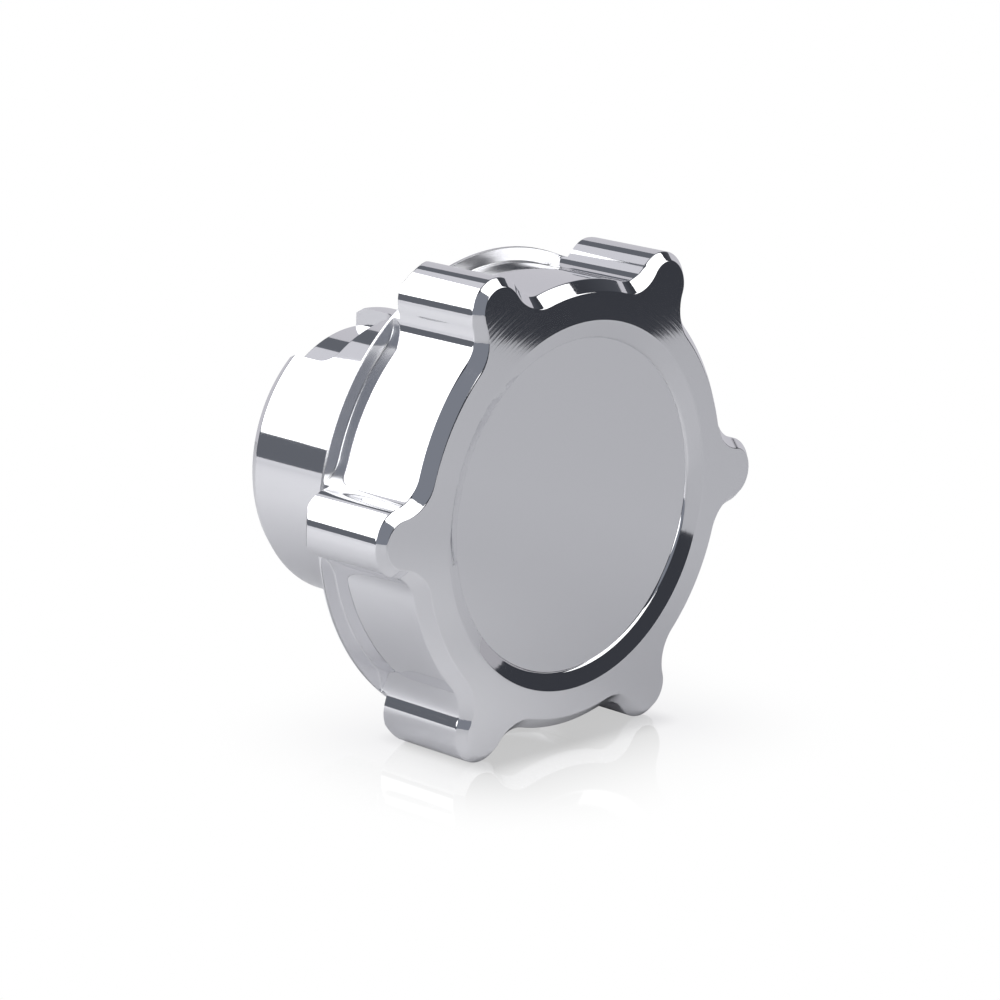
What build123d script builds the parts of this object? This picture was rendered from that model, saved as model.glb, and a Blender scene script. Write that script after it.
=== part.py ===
from build123d import *
import os
from math import acos, atan2, cos, degrees, radians, sin, tan

# Oil filler cap. The turning axis is Y, the grip faces -Y and the neck points to +Y.
# Y = 0 is the rear face of the flange, which seats on the filler. Z is up at rest, when
# the cap lies on two neighbouring lobes. All sizes are in millimetres.

# Grip: a turned disc with lobes, milled from the front
lobe_count = 6
valley_radius = 31.0         # axis to the wall between two lobes
lobe_height = 6.5            # valley wall to the tip of a lobe
lobe_nose_radius = 4.7       # rounding of each lobe's nose
lobe_root_radius = 4.7       # hollow rounding where a lobe meets the valley wall
lobe_length = 15.3           # plane of the dish's rim to the rear ends of the lobes
front_chamfer = 1.85         # 45 degree chamfer of the outline, down from that same plane
face_fall_angle = 3.8        # the ring round the dish falls away outward, in degrees
tip_break = 0.8              # 45 degree break turned on the lobes' rear tips

# Shallow dish in the front face; its rim is the foremost edge of the cap
front_land = 5.5             # valley wall to the dish's rim
dish_wall_width = 2.45       # sloping wall between the rim and the flat floor
dish_depth = 1.22
dish_foot_width = 0.09       # the wall ends in a steep step at its foot
dish_foot_height = 0.25      # height of that step
dish_foot_radius = 0.5       # rounding over the step

# Flange behind the lobes
flange_ledge = 2.05          # how far the flange stands out past the valley wall
flange_step = 1.75           # lobes' rear ends to the flange's rear face
rim_thickness = 0.5          # flange left behind the valleys
valley_corner_radius = 0.25  # hollow rounding at the foot of the valley wall

# Neck that goes into the filler
neck_radius = 20.55
neck_length = 26.8           # flange's rear face to the neck's end
lead_in_length = 1.55        # taper at the neck's end, along the axis
lead_in_depth = 0.9          # the same taper, across the wall

# Weight-saving hollow in the neck
neck_wall = 4.35
end_thickness = 9.23         # dish's floor to the hollow's floor
bore_corner_radius = 1.5     # hollow rounding at that floor
bore_mouth_chamfer = 0.6

# Two opposite notches in the neck's end
notch_width_angle = 40.8     # degrees round the axis
notch_side_angle = 131.3     # left side of the upper notch, degrees from +X toward +Z
notch_length = 8.55          # along the neck, from its end
notch_depth = 2.8
notch_corner_radius = 2.5

# Rubber seal in a groove in the flange's rear face
seal_section = 3.5           # thickness of the round section
seal_flat = 0.1              # section pressed flat on the groove's floor by this much
seal_stand_out = 0.8         # how far the seal stands out of its groove
seal_side_clearance = 0.2    # to each side of the groove
groove_land = 1.4            # flange left between the neck and the groove

lobe_tip_radius = valley_radius + lobe_height
flange_radius = valley_radius + flange_ledge
dish_radius = valley_radius - front_land
front_y = -(lobe_length + flange_step)
lobe_rear_y = -flange_step
valley_floor_y = -rim_thickness
groove_depth = seal_section - seal_flat - seal_stand_out
groove_inner_radius = neck_radius + groove_land
groove_outer_radius = groove_inner_radius + seal_section + 2 * seal_side_clearance
seal_mean_radius = (groove_inner_radius + groove_outer_radius) / 2
tool_reach = 5.0             # how far cutting shapes run past the surface they cut


def polar(radius, angle):
    """Point at a radius and an angle in degrees, from +X toward +Z."""
    return (radius * cos(radians(angle)), radius * sin(radians(angle)))


def lobed_outline():
    """Closed outline of the grip: nose, root and valley arcs, each tangent to the next."""
    nose_centre = lobe_tip_radius - lobe_nose_radius
    root_centre = valley_radius + lobe_root_radius
    joined = lobe_nose_radius + lobe_root_radius
    root_cos = (nose_centre**2 + root_centre**2 - joined**2) / (2 * nose_centre * root_centre)
    root_angle = degrees(acos(root_cos))
    root_x, root_z = polar(root_centre, root_angle)
    nose_half = degrees(atan2(root_z, root_x - nose_centre))
    pitch = 360 / lobe_count
    turn = nose_half - root_angle
    arcs = []
    for k in range(lobe_count):
        a = k * pitch
        arcs += [
            CenterArc(polar(nose_centre, a), lobe_nose_radius, a - nose_half, 2 * nose_half),
            CenterArc(polar(root_centre, a + root_angle), lobe_root_radius, a + nose_half + 180, -turn),
            CenterArc((0, 0), valley_radius, a + root_angle, pitch - 2 * root_angle),
            CenterArc(
                polar(root_centre, a + pitch - root_angle),
                lobe_root_radius,
                a + pitch - root_angle + 180,
                -turn,
            ),
        ]
    return Wire(arcs)


def turned(*points):
    """Solid turned about Y from a closed outline of (radius, y) points."""
    return revolve(make_face(Polyline(*points, close=True)), Axis.Y)


def grip():
    """Lobed disc with its front chamfer, standing on the flange, turned to length and faced."""
    outline = Plane.XZ.offset(-valley_floor_y) * make_face(lobed_outline())
    lobes = extrude(outline, valley_floor_y - front_y)
    lobes = chamfer(lobes.faces().sort_by(Axis.Y)[0].edges(), front_chamfer)
    plate_radius = lobe_tip_radius + tool_reach
    blank = lobes + turned(
        (0, valley_floor_y), (plate_radius, valley_floor_y), (plate_radius, 0), (0, 0)
    )
    at_floor = blank.edges().filter_by_position(Axis.Y, valley_floor_y - 0.01, valley_floor_y + 0.01)
    foot = [e for e in at_floor if e.radius < plate_radius - 0.01]
    blank = fillet(foot, valley_corner_radius)
    outer_radius = plate_radius + tool_reach
    turned_off = turned(
        (flange_radius, tool_reach),
        (flange_radius, lobe_rear_y),
        (lobe_tip_radius - tip_break, lobe_rear_y),
        (outer_radius, lobe_rear_y - (outer_radius - lobe_tip_radius) - tip_break),
        (outer_radius, tool_reach),
    )
    faced_off = turned(
        (dish_radius, front_y),
        (outer_radius, front_y + (outer_radius - dish_radius) * tan(radians(face_fall_angle))),
        (outer_radius, front_y - tool_reach),
        (dish_radius, front_y - tool_reach),
    )
    return blank - turned_off - faced_off


def dish():
    """Shallow dish cut into the front face, with a rounded step at the foot of its wall."""
    floor_y = front_y + dish_depth
    floor_radius = dish_radius - dish_wall_width
    outline = make_face(
        Polyline(
            (0, front_y),
            (dish_radius, front_y),
            (floor_radius + dish_foot_width, floor_y - dish_foot_height),
            (floor_radius, floor_y),
            (0, floor_y),
            close=True,
        )
    )
    step = outline.vertices().sort_by(Axis.X)[-2]
    return revolve(fillet(step, dish_foot_radius), Axis.Y)


def neck():
    """Plain neck with a lead-in taper at its end."""
    taper_y = neck_length - lead_in_length
    return turned(
        (0, lobe_rear_y),
        (neck_radius, lobe_rear_y),
        (neck_radius, taper_y),
        (neck_radius - lead_in_depth, neck_length),
        (0, neck_length),
    )


def bore():
    """Blind hollow in the neck, with a chamfered mouth and a rounded floor corner."""
    floor_y = front_y + dish_depth + end_thickness
    bore_radius = neck_radius - neck_wall
    mouth = bore_radius + bore_mouth_chamfer
    outline = make_face(
        Polyline(
            (0, floor_y),
            (bore_radius, floor_y),
            (bore_radius, neck_length - bore_mouth_chamfer),
            (mouth, neck_length),
            (mouth, neck_length + tool_reach),
            (0, neck_length + tool_reach),
            close=True,
        )
    )
    corner = outline.vertices().sort_by(Axis.Y)[:2].sort_by(Axis.X)[-1]
    return revolve(fillet(corner, bore_corner_radius), Axis.Y)


def notch(side_angle):
    """Notch in the neck's end: radial sides, round floor, rounded inner corners."""
    inner_y = neck_length - notch_length
    floor_radius = neck_radius - notch_depth
    section = make_face(
        Polyline(
            (floor_radius, inner_y),
            (neck_radius + tool_reach, inner_y),
            (neck_radius + tool_reach, neck_length + tool_reach),
            (floor_radius, neck_length + tool_reach),
            close=True,
        )
    )
    cut = revolve(section, Axis.Y, notch_width_angle)
    corners = cut.edges().filter_by(GeomType.LINE).group_by(Axis.Y)[0]
    cut = fillet(corners, notch_corner_radius)
    return Rot(0, -side_angle, 0) * cut


def groove():
    """Square groove in the flange's rear face that holds the seal."""
    return turned(
        (groove_inner_radius, -groove_depth),
        (groove_outer_radius, -groove_depth),
        (groove_outer_radius, tool_reach),
        (groove_inner_radius, tool_reach),
    )


def cap_body():
    """One piece of aluminium: grip, flange and neck."""
    body = grip() + neck()
    body -= dish()
    body -= bore()
    body -= groove()
    body -= notch(notch_side_angle)
    body -= notch(notch_side_angle + 180)
    return body


def seal_ring():
    """Rubber ring of round section, pressed flat on the floor of its groove."""
    centre_y = -groove_depth + seal_section / 2 - seal_flat
    section = Pos(seal_mean_radius, centre_y) * Circle(seal_section / 2)
    below = Pos(seal_mean_radius, -groove_depth - seal_section) * Rectangle(
        2 * seal_section, 2 * seal_section
    )
    return revolve(section - below, Axis.Y)


os.makedirs("parts", exist_ok=True)
export_step(cap_body(), "parts/cap_body.step")
export_step(seal_ring(), "parts/seal_ring.step")
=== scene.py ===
from math import acos, atan2, cos, pi, radians, sin, tan

import bmesh
import bpy
import numpy as np
from mathutils import Matrix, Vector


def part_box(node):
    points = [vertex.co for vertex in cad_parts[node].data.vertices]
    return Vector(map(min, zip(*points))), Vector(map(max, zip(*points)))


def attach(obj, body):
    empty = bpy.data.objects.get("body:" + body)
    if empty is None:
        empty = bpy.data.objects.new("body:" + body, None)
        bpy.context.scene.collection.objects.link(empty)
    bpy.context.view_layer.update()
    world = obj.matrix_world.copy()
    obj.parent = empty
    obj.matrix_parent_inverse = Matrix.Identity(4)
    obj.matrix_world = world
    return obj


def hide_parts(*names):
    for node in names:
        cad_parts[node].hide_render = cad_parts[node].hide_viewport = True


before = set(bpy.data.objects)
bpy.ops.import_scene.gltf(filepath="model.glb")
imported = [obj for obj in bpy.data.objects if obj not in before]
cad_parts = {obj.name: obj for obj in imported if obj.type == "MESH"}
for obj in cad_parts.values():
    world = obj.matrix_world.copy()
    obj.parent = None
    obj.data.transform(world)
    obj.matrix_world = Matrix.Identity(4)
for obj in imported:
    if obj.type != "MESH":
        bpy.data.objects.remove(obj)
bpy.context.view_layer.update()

# Sizes of the cap in millimetres, as in the part's source. The turning axis is Y, the grip faces -Y, and y = 0
# is the rear face of the flange.
MM = 0.001                              # one millimetre in the scene's metres
LOBES = 6
VALLEY_R, TIP_R = 31.0, 37.5            # from the axis to the walls between the lobes, and to the lobes' tips
NOSE_R, ROOT_R = 4.7, 4.7               # rounding of a lobe's nose, and of the hollow beside it
FRONT_Y, LOBE_REAR_Y, VALLEY_FLOOR_Y = -17.05, -1.75, -0.5
CHAMFER, TIP_BREAK = 1.85, 0.8
BREAK_R = TIP_R - TIP_BREAK             # where the turned break of the lobes' rear tips ends
FACE_FALL = tan(radians(3.8))           # the ring round the dish falls away outward
DISH_R, DISH_FLOOR_R, DISH_DEPTH = 25.5, 23.05, 1.22
DISH_FLOOR_ROWS = (0.0, 8.0, 18.0, 22.0)
DISH_SLOPE, STEP_SLOPE = radians(22.3), radians(70)     # the dish's wall, and the polished-down step at its foot
FLANGE_R, VALLEY_CORNER_R = 33.05, 0.25
GROOVE_OUT_R, GROOVE_IN_R, GROOVE_Y = 25.85, 21.95, -2.6
NECK_R, NECK_END_Y = 20.55, 26.8
TAPER_R, TAPER_Y = 19.65, 25.25
BORE_R, BORE_FLOOR_Y, BORE_CORNER_R, MOUTH = 16.2, -6.6, 1.5, 0.6
BORE_FLOOR_ROWS = (8.0, 0.0)
NOTCH_FLOOR_R, NOTCH_Y, NOTCH_CORNER_R = 17.75, 18.25, 2.5
NOTCH_FROM, NOTCH_TO = radians(90.5), radians(131.3)
SEAL_R, SEAL_SECTION, SEAL_FLAT = 23.9, 3.5, 0.1
EDGE = 0.13                             # polishing rounds the crisp edges by about this much

# Columns round one half lobe, from the lobe's middle to the valley's middle, and round the whole cap
NOSE_N, ROOT_OUT_N, ROOT_IN_N, VALLEY_N = 25, 5, 16, 13
COLUMNS = 2 * LOBES * (NOSE_N + ROOT_OUT_N + ROOT_IN_N + VALLEY_N + 1)
# Columns round an inner corner of a notch, and along the notch's end between its corners
NOTCH_CORNER_N, NOTCH_END_N = 14, 52
# Rows across each stretch of the cap
EASE_N = 4                              # an eased edge
STEP_N, RING_N, WALL_N = 7, 5, 6        # the dish's step, the front ring, the walls of the lobes and valleys
COVE_N, LEDGE_N = 7, 3                  # the cove at a valley's foot, the flange's ledge beyond it
NECK_N, NOTCH_N, BORE_CORNER_N = 5, 4, 7    # the neck up to the notches, beside them, the bore floor's corner
SEAL_COLUMNS, SEAL_ROWS = 240, 48       # round the seal, and round its section
INSET_TRIES = 12                        # repeats that settle the chamfer's inner edge
SHARP = radians(30)                     # edges that turn more than this stay crisp
MERGE, COLLAPSE = 2e-7, 1e-7            # in metres: points this close are one, edges this short go


def unit(angle):
    """Directions (cos a, sin a) in the plan."""
    return np.stack([np.cos(angle), np.sin(angle)], 1)


def half_lobe():
    """Outline of half a lobe about the X axis: nose arc, root arc, valley arc, each a circle's arc sampled by
    its angle. The root arc is parted where it crosses the flange's radius, and that point is given twice, once
    for each side. Returns points, outward normals and whether the point stands outside the flange."""
    nose_c, root_c, joined = TIP_R - NOSE_R, VALLEY_R + ROOT_R, NOSE_R + ROOT_R
    root_a = acos((nose_c**2 + root_c**2 - joined**2) / (2 * nose_c * root_c))
    centre = root_c * np.array([cos(root_a), sin(root_a)])
    nose_a = atan2(centre[1], centre[0] - nose_c)
    cross = root_a + 2 * pi - acos((FLANGE_R**2 - root_c**2 - ROOT_R**2) / (2 * root_c * ROOT_R))
    nose = np.linspace(0, nose_a, NOSE_N + 1)
    root_out = np.linspace(nose_a + pi, cross, ROOT_OUT_N + 1)[1:]
    root_in = np.linspace(cross, root_a + pi, ROOT_IN_N + 1)
    valley = np.linspace(root_a, pi / LOBES, VALLEY_N + 1)[1:]
    root = np.concatenate([root_out, root_in])
    points = [[nose_c, 0] + NOSE_R * unit(nose), centre + ROOT_R * unit(root), VALLEY_R * unit(valley)]
    normals = [unit(nose), -unit(root), unit(valley)]
    outside = np.arange(len(nose) + len(root) + len(valley)) < len(nose) + len(root_out)
    return np.concatenate(points), np.concatenate(normals), outside


def lobed_outline():
    """The half lobe, mirrored in X and turned about the axis once for each lobe. Returns the same three arrays."""
    points, normals, outside = half_lobe()
    flip = np.array([1, -1])
    points = np.concatenate([points[:0:-1] * flip, points])[:-1]
    normals = np.concatenate([normals[:0:-1] * flip, normals])[:-1]
    outside = np.concatenate([outside[:0:-1], outside])[:-1]
    a = np.arange(LOBES) * 2 * pi / LOBES
    turn = np.stack([np.stack([np.cos(a), -np.sin(a)], 1), np.stack([np.sin(a), np.cos(a)], 1)], 1)
    points, normals = (np.einsum("kij,nj->kni", turn, p).reshape(-1, 2) for p in (points, normals))
    return points, normals, np.tile(outside, LOBES)


def at(plan, y):
    """Row of points from plan points (x, z) and a height along the axis."""
    return np.stack([plan[:, 0], np.broadcast_to(y, len(plan)), plan[:, 1]], 1).astype(float)


def ring(radius, y, angle):
    """Row of points on a circle about the axis: (r cos a, y, r sin a)."""
    return at(np.broadcast_to(radius, len(angle))[:, None] * unit(angle), y)


def between(a, b, n):
    """n rows evenly spaced after row a, up to and including row b."""
    t = np.linspace(0, 1, n + 1)[1:, None, None]
    return list(a + (b - a) * t)


def eased(before, corner, after, width=EDGE):
    """Rows that round a corner: a quadratic Bezier from width before it to width after it, with a holding row
    on each side so that the flats beyond keep their own normals."""
    hold = 1.5          # holding rows lie this many widths from the corner
    most = 0.3          # a width takes at most this share of the way to the next row
    a, b = before - corner, after - corner
    la, lb = np.linalg.norm(a, axis=1, keepdims=True), np.linalg.norm(b, axis=1, keepdims=True)
    w = np.minimum(width, most * np.minimum(la, lb))
    a, b = a / np.maximum(la, 1e-9) * w, b / np.maximum(lb, 1e-9) * w
    rows = [corner + a * (1 - s) ** 2 + b * s**2 for s in np.linspace(0, 1, EASE_N + 1)]
    return [corner + a * hold] + rows + [corner + b * hold]


def front_edge(plan, normal):
    """Inner edge of the front chamfer: the outline drawn in until the 45 degree chamfer meets the falling ring.
    How far depends on the radius that it reaches, so it is settled by repeating."""
    inset = np.full(len(plan), CHAMFER)
    for _ in range(INSET_TRIES):
        edge = plan - normal * inset[:, None]
        inset = CHAMFER - FACE_FALL * (np.hypot(edge[:, 0], edge[:, 1]) - DISH_R)
    return at(edge, FRONT_Y + CHAMFER - inset)


def dish_rows(angle):
    """Rows from the middle of the dish to the top of the step at its wall's foot. The step is an arc whose slope
    goes from the step's own to the wall's, and its radius lets the straight wall end at the rim:
    depth - r * fall = (wall's width - r * run) * tan(slope)."""
    floor_y = FRONT_Y + DISH_DEPTH
    run, fall = sin(STEP_SLOPE) - sin(DISH_SLOPE), cos(DISH_SLOPE) - cos(STEP_SLOPE)
    climb = tan(DISH_SLOPE)
    arc_r = (DISH_DEPTH - (DISH_R - DISH_FLOOR_R) * climb) / (fall - run * climb)
    slope = np.linspace(STEP_SLOPE, DISH_SLOPE, STEP_N)
    step_r = DISH_FLOOR_R + arc_r * (sin(STEP_SLOPE) - np.sin(slope))
    step_y = floor_y - arc_r * (np.cos(slope) - cos(STEP_SLOPE))
    rows = [ring(r, floor_y, angle) for r in DISH_FLOOR_ROWS]
    return rows + [ring(r, y, angle) for r, y in zip(step_r, step_y)]


def grip_rows():
    """Rows from the middle of the dish outward over the front ring, a cone, over the chamfer, and down the lobes
    and valleys to the flange's edge. Returns them and the row of that edge at the flange's rear face."""
    plan, normal, outside = lobed_outline()
    edge = front_edge(plan, normal)
    angle = np.arctan2(edge[:, 2], edge[:, 0])
    rim, top = ring(DISH_R, FRONT_Y, angle), at(plan, FRONT_Y + CHAMFER)
    over_break = np.maximum(np.hypot(plan[:, 0], plan[:, 1]) - BREAK_R, 0)
    foot = at(plan, LOBE_REAR_Y - over_break)
    rows = dish_rows(angle)
    rows += eased(rows[-1], rim, edge) + between(rim, edge, RING_N)[:-1]
    rows += eased(rim, edge, top)
    rows += eased(edge, top, foot) + between(top, foot, WALL_N)[:-1]
    rear, flange_edge = rear_of_grip(rows[-1], foot, plan, normal, outside)
    return rows + rear, flange_edge


def rear_of_grip(before, foot, plan, normal, outside):
    """Rows from the foot of the wall to the flange's edge. On the lobes they run over the turned break and in
    across the flat rear ends; in the valleys they run round the cove, an arc, and out across the flange's face
    along the wall's normal, as far as the flange's circle."""
    radius = np.hypot(plan[:, 0], plan[:, 1])
    out = plan / radius[:, None]
    on_lobe = outside[:, None]
    along = np.sum(plan * normal, 1)
    span = np.sqrt(np.maximum(along**2 - radius**2 + FLANGE_R**2, 0)) - along
    cove = np.arccos(1 - np.clip(span, 0, VALLEY_CORNER_R) / VALLEY_CORNER_R)
    cove_y = VALLEY_FLOOR_Y - VALLEY_CORNER_R
    break_end = at(np.where((radius > BREAK_R)[:, None], out * BREAK_R, plan), LOBE_REAR_Y)
    rows = eased(before, foot, break_end)[:-1]
    rows.append(np.where(on_lobe, foot, at(plan, cove_y)))
    for s in np.linspace(0, 1, COVE_N + 1)[1:]:
        step = VALLEY_CORNER_R * (1 - np.cos(cove * s))
        valley = at(plan + normal * step[:, None], cove_y + VALLEY_CORNER_R * np.sin(cove * s))
        rows.append(np.where(on_lobe, foot + (break_end - foot) * s, valley))
    flat_end = at(plan + normal * np.maximum(span, 0)[:, None], rows[-1][:, 1])
    lip = np.where(on_lobe, at(out * FLANGE_R, LOBE_REAR_Y), flat_end)
    side = at(lip[:, [0, 2]], np.where(outside, cove_y, lip[:, 1]))
    flange_edge = at(lip[:, [0, 2]], 0.0)
    rows += between(rows[-1], lip, LEDGE_N)[:-1]
    rows += [np.where(on_lobe, lip, row) for row in eased(rows[-1], lip, flange_edge)]
    return rows + [side], flange_edge


def notch_columns():
    """Angles round the neck, column by column. Plain stretches are evenly spaced. A notch is followed along its
    rounded outline: s is the distance from a side's plane, so a point at radius R lies asin(s / R) round from it,
    and y is where the notch ends there. Returns a function from a radius to the angles, the ends y and a mask."""
    per_notch = 2 * NOTCH_CORNER_N + NOTCH_END_N + 1
    plain = COLUMNS // 2 - per_notch
    quarter = np.linspace(0, pi / 2, NOTCH_CORNER_N + 1)
    s = NOTCH_CORNER_R * (1 - np.cos(quarter))
    end = NOTCH_Y + NOTCH_CORNER_R * (1 - np.sin(quarter))
    y = np.concatenate([end, np.full(NOTCH_END_N - 1, NOTCH_Y), end[::-1]])

    def angles(radius):
        turn = np.arcsin(s / radius)
        first, last = NOTCH_FROM + turn, NOTCH_TO - turn[::-1]
        notch = np.concatenate([first, np.linspace(first[-1], last[0], NOTCH_END_N + 1)[1:-1], last])
        half = np.concatenate([notch, np.linspace(NOTCH_TO, NOTCH_FROM + pi, plain)])
        return np.concatenate([half, half + pi])

    mask = np.tile(np.arange(COLUMNS // 2) < per_notch, 2)
    ends = np.tile(np.concatenate([y, np.full(plain, NOTCH_Y + NOTCH_CORNER_R)]), 2)
    return angles, ends, mask


def neck_rows():
    """Rows from the flange's rear face over the seal's groove, up the neck, round its end and down the bore to
    the middle of the bore's floor. In a notch the rows turn in at the notch's end and run along its floor."""
    angles, ends, in_notch = notch_columns()
    outer, inner = angles(NECK_R), angles(NOTCH_FLOOR_R)

    def either(plain_r, plain_y, notch_y):
        """Row that follows the plain neck at a radius, and within the notches follows their floor."""
        return np.where(in_notch[:, None], ring(NOTCH_FLOOR_R, notch_y, inner), ring(plain_r, plain_y, outer))

    groove = [(GROOVE_OUT_R, 0.0), (GROOVE_OUT_R, GROOVE_Y), (GROOVE_IN_R, GROOVE_Y), (GROOVE_IN_R, 0.0)]
    rows = [ring(r, y, outer) for r, y in groove + [(NECK_R, 0.0)]]
    root, stop = rows[-1], ring(NECK_R, ends, outer)
    turn_in = either(NECK_R, TAPER_Y, ends)
    half_way = either(TAPER_R, NECK_END_Y, (ends + NECK_END_Y) / 2)
    end_out = ring(NOTCH_FLOOR_R, NECK_END_Y, inner)
    end_in = ring(BORE_R + MOUTH, NECK_END_Y, inner)
    mouth_in = ring(BORE_R, NECK_END_Y - MOUTH, inner)
    # a notch's two sides meet its floor and end crisply
    side = in_notch & ~(np.roll(in_notch, 1) & np.roll(in_notch, -1))
    stop_width, turn_width = (np.where(crisp, 0, EDGE)[:, None] for crisp in (side, in_notch))
    rows += between(root, stop, NECK_N)[:-1] + eased(root, stop, turn_in, stop_width)
    rows += between(stop, turn_in, NOTCH_N)[:-1] + eased(stop, turn_in, half_way, turn_width)
    rows += eased(turn_in, half_way, end_out) + eased(half_way, end_out, end_in)
    rows += eased(end_out, end_in, mouth_in) + eased(end_in, mouth_in, ring(BORE_R, 0.0, inner))
    quarter = np.linspace(0, pi / 2, BORE_CORNER_N)
    corner_r = BORE_R - BORE_CORNER_R * (1 - np.cos(quarter))
    corner_y = BORE_FLOOR_Y + BORE_CORNER_R * (1 - np.sin(quarter))
    rows += [ring(r, y, inner) for r, y in zip(corner_r, corner_y)]
    rows += [ring(r, BORE_FLOOR_Y, inner) for r in BORE_FLOOR_ROWS]
    first = round((NOTCH_FROM / pi + 1 / LOBES) * COLUMNS / 2)    # the grip's column at the notch's first side
    return [np.roll(row, first, axis=0) for row in rows]


def seal_rows():
    """Round section carried about the axis, pressed flat where it lies on the groove's floor."""
    centre_y = GROOVE_Y + SEAL_SECTION / 2 - SEAL_FLAT
    around = np.linspace(0, 2 * pi, SEAL_COLUMNS, endpoint=False)
    section = np.linspace(0, 2 * pi, SEAL_ROWS, endpoint=False)
    r = SEAL_R + SEAL_SECTION / 2 * np.cos(section)
    y = np.maximum(centre_y + SEAL_SECTION / 2 * np.sin(section), GROOVE_Y)
    return [ring(a, b, around) for a, b in zip(r, y)]


def skin(name, rows, finish, closed_rows=False):
    """Mesh of quads between neighbouring rows, each row a closed loop of columns. Rows that fall together are
    merged, so that poles close and folded-up rows vanish. Millimetres become metres."""
    grid = np.stack(rows)
    r, c = grid.shape[:2]
    i = np.arange(r if closed_rows else r - 1)[:, None]
    j = np.arange(c)[None, :]
    after, beside = (i + 1) % r, (j + 1) % c
    quad = np.stack([i * c + j, i * c + beside, after * c + beside, after * c + j], -1)
    mesh = bpy.data.meshes.new(name)
    mesh.from_pydata((grid.reshape(-1, 3) * MM).tolist(), [], quad.reshape(-1, 4).tolist())
    shape = bmesh.new()
    shape.from_mesh(mesh)
    bmesh.ops.remove_doubles(shape, verts=shape.verts, dist=MERGE)
    bmesh.ops.dissolve_degenerate(shape, edges=shape.edges, dist=COLLAPSE)
    bmesh.ops.recalc_face_normals(shape, faces=shape.faces)
    shape.to_mesh(mesh)
    shape.free()
    mesh.shade_smooth()
    mesh.set_sharp_from_angle(angle=SHARP)
    mesh.materials.append(finish)
    piece = bpy.data.objects.new(name, mesh)
    bpy.context.scene.collection.objects.link(piece)
    hold = piece.modifiers.new("flats_stay_flat", "WEIGHTED_NORMAL")
    hold.mode, hold.weight, hold.keep_sharp = "FACE_AREA", 50, True
    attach(piece, "root")
    return piece


def linear(hex_colour):
    """sRGB hex to linear red, green, blue and full alpha."""
    c = np.array([int(hex_colour[k:k + 2], 16) for k in (1, 3, 5)]) / 255
    return (*np.where(c <= 0.04045, c / 12.92, ((c + 0.055) / 1.055) ** 2.4), 1.0)


def node(tree, kind, values=None, **settings):
    """Adds a node with its settings, and sets or links its sockets by name or number."""
    n = tree.nodes.new(kind)
    for key, value in settings.items():
        setattr(n, key, value)
    for key, value in (values or {}).items():
        if isinstance(value, bpy.types.NodeSocket):
            tree.links.new(value, n.inputs[key])
        else:
            n.inputs[key].default_value = value
    return n


def material(name):
    """New material with an empty node tree and its output node."""
    m = bpy.data.materials.new(name)
    m.use_nodes = True
    m.node_tree.nodes.clear()
    return m, m.node_tree, node(m.node_tree, "ShaderNodeOutputMaterial")


def polished_aluminium():
    """Billet aluminium, turned and milled, then polished to a mirror. The lathe leaves faint rings on the front:
    where a mirrored edge crosses them it frays into streaks that run round the axis."""
    m, t, out = material("polished_billet_aluminium")
    spot = node(t, "ShaderNodeTexCoord").outputs["Object"]
    place = node(t, "ShaderNodeSeparateXYZ", {0: spot})
    plan = node(t, "ShaderNodeCombineXYZ", {"X": place.outputs["X"], "Y": place.outputs["Z"]})
    radius = node(t, "ShaderNodeVectorMath", {0: plan.outputs[0]}, operation="LENGTH")
    # rings about 0.45 mm apart; the lathe's own feed of some 0.1 mm would be too fine to show
    rings = node(t, "ShaderNodeTexNoise", {
        "W": radius.outputs["Value"], "Scale": 2200.0, "Detail": 2.0,
    }, noise_dimensions="1D")
    # breaks the rings up round the axis, in patches of about 12 mm
    patches = node(t, "ShaderNodeTexNoise", {"Vector": plan.outputs[0], "Scale": 80.0, "Detail": 1.0})
    # only on the front, as far as the foot of the chamfer
    chamfer_y, blend = FRONT_Y + CHAMFER, 0.2
    front = node(t, "ShaderNodeMapRange", {
        "Value": place.outputs["Y"], "From Min": (chamfer_y + blend) * MM, "From Max": (chamfer_y - blend) * MM,
        "To Min": 0.0, "To Max": 1.0,
    })
    depth = node(t, "ShaderNodeMath", {0: patches.outputs[0], 1: front.outputs[0]}, operation="MULTIPLY")
    marks = node(t, "ShaderNodeMath", {0: rings.outputs[0], 1: depth.outputs[0]}, operation="MULTIPLY")
    # hand polishing leaves the whole skin very slightly wavy, about 3 mm from crest to crest
    waves = node(t, "ShaderNodeTexNoise", {"Vector": spot, "Scale": 330.0, "Detail": 0.0})
    wavy = node(t, "ShaderNodeBump", {"Height": waves.outputs[0], "Strength": 1.0, "Distance": 5e-6})
    bump = node(t, "ShaderNodeBump", {
        "Height": marks.outputs[0], "Strength": 1.0, "Distance": 4e-6, "Normal": wavy.outputs[0],
    })
    # the buffing wheel can't reach the flange's ledge behind the valleys, so milling marks dull it
    outer = node(t, "ShaderNodeMapRange", {
        "Value": radius.outputs["Value"], "From Min": (VALLEY_R - 2) * MM, "From Max": (VALLEY_R - 1) * MM,
    })
    dull = node(t, "ShaderNodeMapRange", {
        "Value": place.outputs["Y"],
        "From Min": (VALLEY_FLOOR_Y - 0.9) * MM, "From Max": (VALLEY_FLOOR_Y - 0.1) * MM,
        "To Min": 0.0, "To Max": 0.2,
    })
    buffed = 0.05
    roughness = node(t, "ShaderNodeMath", {
        0: outer.outputs[0], 1: dull.outputs[0], 2: buffed,
    }, operation="MULTIPLY_ADD")
    metal = node(t, "ShaderNodeBsdfPrincipled", {
        "Base Color": linear("#F0F0F2"), "Metallic": 1.0,
        "Roughness": roughness.outputs[0], "Normal": bump.outputs[0],
    })
    t.links.new(metal.outputs[0], out.inputs[0])
    return m


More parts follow.
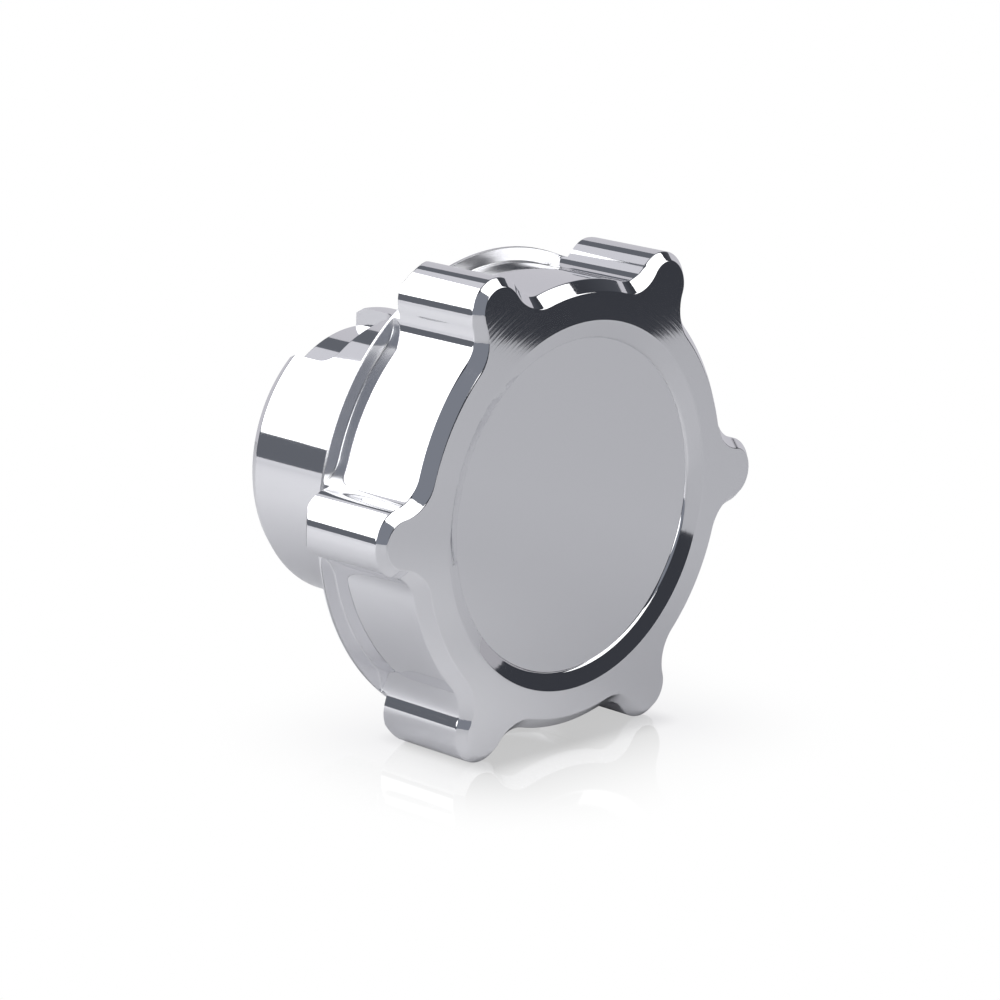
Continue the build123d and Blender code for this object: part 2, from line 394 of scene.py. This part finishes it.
def black_rubber():
    """Nitrile rubber, pressed hot in a mould and then left to age. The mould's grain breaks up every highlight and
    a bloom of wax and dust lies on it, so the ring looks black and matt with slightly greyer patches."""
    m, t, out = material("moulded_nitrile_rubber")
    spot = node(t, "ShaderNodeTexCoord").outputs["Object"]
    # bloom and dust lie on it in soft patches of about 5 mm
    bloom = node(t, "ShaderNodeTexNoise", {"Vector": spot, "Scale": 200.0, "Detail": 3.0})
    tone = node(t, "ShaderNodeMix", {
        0: bloom.outputs[0], "A": linear("#141415"), "B": linear("#262628"),
    }, data_type="RGBA")
    sheen = node(t, "ShaderNodeMapRange", {"Value": bloom.outputs[0], "To Min": 0.5, "To Max": 0.75})
    # the mould's grain is some 0.05 mm; drawn at about 0.25 mm so that it shows
    grain = node(t, "ShaderNodeTexNoise", {"Vector": spot, "Scale": 4000.0, "Detail": 1.0})
    bump = node(t, "ShaderNodeBump", {"Height": grain.outputs[0], "Strength": 0.5, "Distance": 4e-5})
    rubber = node(t, "ShaderNodeBsdfPrincipled", {
        "Base Color": tone.outputs["Result"], "Roughness": sheen.outputs[0], "Normal": bump.outputs[0],
    })
    t.links.new(rubber.outputs[0], out.inputs[0])
    return m


def stand(thing, columns, spot):
    """Puts a camera or a lamp at a spot, its own X, Y and Z along the three given directions."""
    m = np.eye(4)
    m[:3, :4] = np.stack([*columns, spot], 1)
    thing.matrix_world = Matrix(m.tolist())
    bpy.context.scene.collection.objects.link(thing)


def toward(azimuth, elevation, distance=1.0):
    """Point seen from the cap's middle: azimuth in degrees from the front toward +X, distance in metres."""
    a, e = radians(azimuth), radians(elevation)
    return distance * np.array([sin(a) * cos(e), -cos(a) * cos(e), sin(e)])


def place_camera():
    """Camera at the photo's viewing angle: turned to the left of the front, a little above, slightly rolled."""
    azimuth, elevation, roll = -47.3624, 13.9594, radians(2.3949)
    spot = np.array([-371.17, -343.88, 123.48]) * MM
    back, right = toward(azimuth, elevation), toward(azimuth + 90, 0)
    up = np.cross(back, right)
    right, up = right * cos(roll) + up * sin(roll), up * cos(roll) - right * sin(roll)
    camera = bpy.data.cameras.new("camera")
    camera.lens, camera.sensor_width, camera.sensor_fit = 135.874, 36.0, "HORIZONTAL"
    camera.clip_start, camera.clip_end = 0.01, 50.0
    eye = bpy.data.objects.new("camera", camera)
    stand(eye, (right, up, back), spot)
    bpy.context.scene.camera = eye


def staged(name, points, faces, finish):
    """Flat piece of the studio, which isn't part of the cap."""
    mesh = bpy.data.meshes.new(name)
    mesh.from_pydata(points.tolist(), [], faces)
    mesh.materials.append(finish)
    sheet = bpy.data.objects.new(name, mesh)
    bpy.context.scene.collection.objects.link(sheet)
    return sheet


def sheet_of(name, corners, finish, n=9):
    """Sheet stretched between four corners: the two-way straight blend of the corners on an n by n grid."""
    u, v = np.meshgrid(np.linspace(0, 1, n), np.linspace(0, 1, n))
    weights = [(1 - u) * (1 - v), u * (1 - v), u * v, (1 - u) * v]
    points = sum(w[..., None] * np.asarray(c, float) for w, c in zip(weights, corners)).reshape(-1, 3)
    i = (np.arange(n - 1)[:, None] * n + np.arange(n - 1)).reshape(-1, 1)
    return staged(name, points, (i + [0, 1, n + 1, n]).tolist(), finish)


def card(name, corners, colour, distance=1.2):
    """Studio card that the metal mirrors and the camera doesn't see; corners are (azimuth, elevation)."""
    m, t, out = material(name)
    glow = node(t, "ShaderNodeEmission", {"Color": linear(colour)})
    t.links.new(glow.outputs[0], out.inputs[0])
    sheet = sheet_of(name, [toward(*c, distance) for c in corners], m)
    sheet.visible_camera = sheet.visible_shadow = False


def softbox(name, centre, across, up, width, height, brightness):
    """Flat soft light. It shines along the cross product of its up and across directions."""
    light = bpy.data.lights.new(name, "AREA")
    light.shape, light.size, light.size_y = "RECTANGLE", width, height
    light.energy = brightness * pi * width * height
    lamp = bpy.data.objects.new(name, light)
    lamp.visible_camera = False
    stand(lamp, (across, up, np.cross(across, up)), centre)
    return lamp


def white_floor(low):
    """Glossy white sheet under the cap, which the metal doesn't mirror. It is painted slightly darker between the
    lobes that the cap rests on, as painted shade, mirrors the cap close by, and is plain white further off."""
    m, t, out = material("white_floor")
    spot = node(t, "ShaderNodeTexCoord").outputs["Object"]
    # how far a spot lies outside the patch between the lobes' two lines of contact
    patch_middle, patch_half = (0.0, -0.0095, low), (0.0164, 0.0075, 0.0)
    off = node(t, "ShaderNodeVectorMath", {0: spot, 1: patch_middle}, operation="SUBTRACT")
    off = node(t, "ShaderNodeVectorMath", {0: off.outputs[0]}, operation="ABSOLUTE")
    off = node(t, "ShaderNodeVectorMath", {0: off.outputs[0], 1: patch_half}, operation="SUBTRACT")
    off = node(t, "ShaderNodeVectorMath", {0: off.outputs[0], 1: (0.0, 0.0, 0.0)}, operation="MAXIMUM")
    far = node(t, "ShaderNodeVectorMath", {0: off.outputs[0]}, operation="LENGTH").outputs["Value"]
    # painted shade: the sheet glows a little less in and near the patch under the cap
    lift = node(t, "ShaderNodeMapRange", {
        "Value": far, "From Min": 0.0, "From Max": 0.005, "To Min": 0.82, "To Max": 1.0,
    }, interpolation_type="SMOOTHSTEP")
    # the mirror image fades with the square of the distance that is left
    fade = node(t, "ShaderNodeMapRange", {
        "Value": far, "From Min": 0.0, "From Max": 0.030, "To Min": 0.58, "To Max": 0.0,
    })
    gloss = node(t, "ShaderNodeMath", {0: fade.outputs[0], 1: fade.outputs[0]}, operation="MULTIPLY")
    white = node(t, "ShaderNodeEmission", {"Color": linear("#FFFFFF"), "Strength": lift.outputs[0]})
    mirror = node(t, "ShaderNodeBsdfGlossy", {"Color": linear("#FFFFFF"), "Roughness": 0.05})
    sheet = node(t, "ShaderNodeMixShader", {0: gloss.outputs[0], 1: white.outputs[0], 2: mirror.outputs[0]})
    t.links.new(sheet.outputs[0], out.inputs[0])
    half = 6.0          # half of the sheet's side, in metres
    corners = [(-half, -half, low), (half, -half, low), (half, half, low), (-half, half, low)]
    floor = sheet_of("floor", corners, m)
    floor.visible_glossy = False
    return floor


def table_top(low):
    """Pale matt table as the metal mirrors it, unseen by the camera. Its colour is painted paler toward the right
    and painted darker far off at the rear left, as painted light and shade, and two pools of painted light glow in
    front where the cap's own face would throw light back."""
    m, t, out = material("table_top")
    spot = node(t, "ShaderNodeTexCoord").outputs["Object"]
    place = node(t, "ShaderNodeSeparateXYZ", {0: spot})
    # painted light and shade: the colour is paler toward the right and darker at the front left
    right = node(t, "ShaderNodeMapRange", {"Value": place.outputs["X"], "From Min": -0.06, "From Max": 0.1})
    front = node(t, "ShaderNodeMix", {
        0: right.outputs[0], "A": linear("#CBCBCD"), "B": linear("#DEDEE0"),
    }, data_type="RGBA")
    # painted shade: far off at the rear left the colour grows darker, where the light falls off
    rear_left = (-0.72, 0.69, 0.0)
    off = node(t, "ShaderNodeVectorMath", {0: spot, 1: rear_left}, operation="DOT_PRODUCT").outputs["Value"]
    dull = node(t, "ShaderNodeMapRange", {"Value": off, "From Min": 0.09, "From Max": 0.26})
    rear = node(t, "ShaderNodeMix", {
        0: dull.outputs[0], "A": linear("#DADADC"), "B": linear("#AEAEB1"),
    }, data_type="RGBA")
    behind = node(t, "ShaderNodeMapRange", {"Value": off, "From Min": 0.0, "From Max": 0.05})
    tone = node(t, "ShaderNodeMix", {
        0: behind.outputs[0], "A": front.outputs["Result"], "B": rear.outputs["Result"],
    }, data_type="RGBA")
    # painted light: two pools of glow in front stand in for light thrown back from the cap's own face
    pools = []
    for x, y, spread, most in ((-0.004, -0.086, 0.070, 0.13), (-0.008, -0.032, 0.036, 0.11)):
        near = node(t, "ShaderNodeVectorMath", {0: spot, 1: (x, y, low)}, operation="DISTANCE")
        pools.append(node(t, "ShaderNodeMapRange", {
            "Value": near.outputs["Value"], "From Min": 0.0, "From Max": spread, "To Min": most, "To Max": 0.0,
        }, interpolation_type="SMOOTHSTEP"))
    glow = node(t, "ShaderNodeMath", {0: pools[0].outputs[0], 1: pools[1].outputs[0]}, operation="ADD")
    matt = node(t, "ShaderNodeBsdfPrincipled", {
        "Base Color": tone.outputs["Result"], "Roughness": 1.0, "Specular IOR Level": 0.0,
        "Emission Color": linear("#FFFFFF"), "Emission Strength": glow.outputs[0],
    })
    # seen from below it is clear, so that the floor's own gloss looks past it
    below = node(t, "ShaderNodeNewGeometry").outputs["Backfacing"]
    clear = node(t, "ShaderNodeBsdfTransparent")
    one_sided = node(t, "ShaderNodeMixShader", {0: below, 1: matt.outputs[0], 2: clear.outputs[0]})
    t.links.new(one_sided.outputs[0], out.inputs[0])
    corners, above_floor = 96, 0.00005
    around = np.linspace(0, 2 * pi, corners, endpoint=False)
    reach = 0.42 + 0.16 * np.cos(around + radians(120))      # in metres, longest toward the front left
    edge = np.stack([reach * np.cos(around), reach * np.sin(around), np.full(corners, low + above_floor)], 1)
    table = staged("table_top", edge, [tuple(range(corners))], m)
    table.visible_camera = table.visible_diffuse = table.visible_shadow = False


def floor_surround(floor):
    """White walls and a roof that light the floor alone, so that its gloss mirrors white all round the cap."""
    width, wall_height, roof_z, brightness = 2.0, 0.6, 0.57, 1.3
    up, wall_z = np.array([0.0, 0.0, 1.0]), roof_z - wall_height / 2
    lamps = []
    for turn in (132, 42, -48, -138):
        out = toward(turn, 0)
        spot = out * width / 2 + up * wall_z
        lamps.append(softbox("floor_wall", spot, np.cross(up, out), up, width, wall_height, brightness))
    lamps.append(softbox("floor_roof", up * roof_z, toward(42, 0), toward(132, 0), width, width, brightness))
    only_floor = bpy.data.collections.new("only_floor")
    only_floor.objects.link(floor)
    for lamp in lamps:
        lamp.light_linking.receiver_collection = only_floor


def softboxes():
    """Two flat soft lights, in metres. One leans over the cap from behind on the left, rising from its lower edge;
    the other hangs high in front on the right and faces the cap."""
    edge, rise = toward(130, 0), np.array([0.6306, -0.7512, 0.195])     # along its lower edge, and up its face
    width, height, slide = 0.9, 0.47, 0.356
    lower = toward(-140, 0, 0.58) + [0, 0, 0.087]
    softbox("softbox_behind", lower - edge * slide + rise * height / 2, -edge, rise, width, height, 2.0)
    far, side, lift = 0.9, 0.9954, 0.2223       # how far off it is, its size, how far it is moved up along its face
    ahead, lean = toward(24.5, 45), toward(24.5, 135)
    softbox("softbox_front", ahead * far + lean * lift, np.cross(lean, ahead), lean, side, side, 1.7)


def cards():
    """Grey cards round the table, for the metal's softer tones."""
    card("card_right", [(88, -8), (150, -8), (150, 36), (88, 28)], "#C9C8CE")
    card("card_right_edge", [(69, -8), (88, -8), (88, 28), (72.5, 8)], "#ADACB1")
    card("card_left", [(-75, -8), (-7, -8), (-19, 46), (-75, 46)], "#7F838C")
    card("card_back", [(150, -8), (186, -8), (186, 12), (150, 12)], "#C9C8CE")
    card("card_strip", [(163.5, 30), (200, 30), (200, 60), (163.5, 60)], "#D6D6DC", distance=0.9)


def dim_room():
    """Room round the studio: dark grey, a little lighter behind the cap, and white to the camera itself."""
    world = bpy.data.worlds.new("studio")
    world.use_nodes = True
    t = world.node_tree
    t.nodes.clear()
    way = node(t, "ShaderNodeSeparateXYZ", {0: node(t, "ShaderNodeTexCoord").outputs["Generated"]})
    share = node(t, "ShaderNodeMapRange", {"Value": way.outputs["Y"], "From Min": -0.2, "From Max": 0.3})
    room = node(t, "ShaderNodeMix", {
        0: share.outputs[0], "A": linear("#3A3C42"), "B": linear("#65686F"),
    }, data_type="RGBA")
    seen = node(t, "ShaderNodeLightPath").outputs["Is Camera Ray"]
    colour = node(t, "ShaderNodeMix", {
        0: seen, "A": room.outputs["Result"], "B": linear("#FFFFFF"),
    }, data_type="RGBA")
    back = node(t, "ShaderNodeBackground", {"Color": colour.outputs["Result"]})
    node(t, "ShaderNodeOutputWorld", {0: back.outputs[0]})
    bpy.context.scene.world = world
    bpy.context.scene.view_settings.view_transform = "Standard"


front, flange_edge = grip_rows()
rear = neck_rows()
cap_rows = front + eased(front[-1], flange_edge, rear[0])[1:] + rear
cap = skin("polished_cap", cap_rows, polished_aluminium())
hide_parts("cap_body")
seal = skin("moulded_seal", seal_rows(), black_rubber(), closed_rows=True)
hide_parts("seal_ring")

place_camera()
floor_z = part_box("cap_body")[0][2]
floor = white_floor(floor_z)
table_top(floor_z)
floor_surround(floor)
softboxes()
cards()
dim_room()
